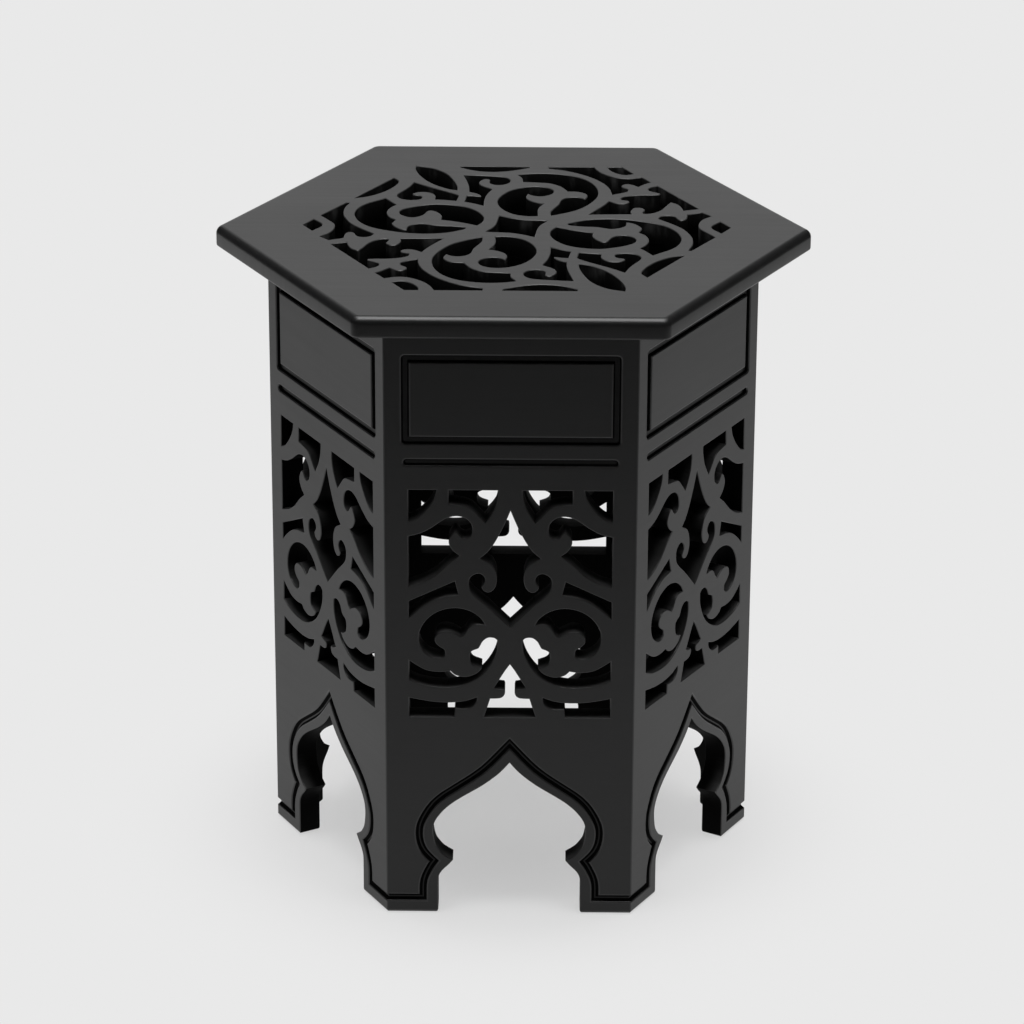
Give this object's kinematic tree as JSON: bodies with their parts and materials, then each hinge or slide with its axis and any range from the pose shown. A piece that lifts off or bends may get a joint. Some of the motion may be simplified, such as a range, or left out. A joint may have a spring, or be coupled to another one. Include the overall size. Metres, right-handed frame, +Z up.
{
  "type": "mashrabiya coffee table",
  "caption": "Hexagonal mashrabiya coffee table with a pierced scrollwork top, fretted side panels and ogee-arched feet in satin black wood, for holding drinks, trays or a lamp.",
  "frame": {"origin": "on the floor under the middle of the table", "axes": "+Z up; the front side faces -Y, and two corners of the table lie on the X axis"},
  "size_m": [0.453, 0.395, 0.503],
  "materials": {
    "black_lacquer": "satin black lacquer",
    "birch_ply": "raw plywood",
    "beech": "raw turned wood"
  },
  "bodies": {
    "root": {"tabletop": "black_lacquer", "side_panel_front": "black_lacquer", "side_panel_front_right": "black_lacquer", "side_panel_back_right": "black_lacquer", "side_panel_back": "black_lacquer", "side_panel_back_left": "black_lacquer", "side_panel_front_left": "black_lacquer", "mitre_spline_front_right": "birch_ply", "mitre_spline_right": "birch_ply", "mitre_spline_back_right": "birch_ply", "mitre_spline_back_left": "birch_ply", "mitre_spline_left": "birch_ply", "mitre_spline_front_left": "birch_ply", "glue_block_front_right": "black_lacquer", "glue_block_right": "black_lacquer", "glue_block_back_right": "black_lacquer", "glue_block_back_left": "black_lacquer", "glue_block_left": "black_lacquer", "glue_block_front_left": "black_lacquer", "top_dowel_front_1": "beech", "top_dowel_front_2": "beech", "top_dowel_front_right_1": "beech", "top_dowel_front_right_2": "beech", "top_dowel_back_right_1": "beech", "top_dowel_back_right_2": "beech", "top_dowel_back_1": "beech", "top_dowel_back_2": "beech", "top_dowel_back_left_1": "beech", "top_dowel_back_left_2": "beech", "top_dowel_front_left_1": "beech", "top_dowel_front_left_2": "beech"}
  },
  "joints": []
}
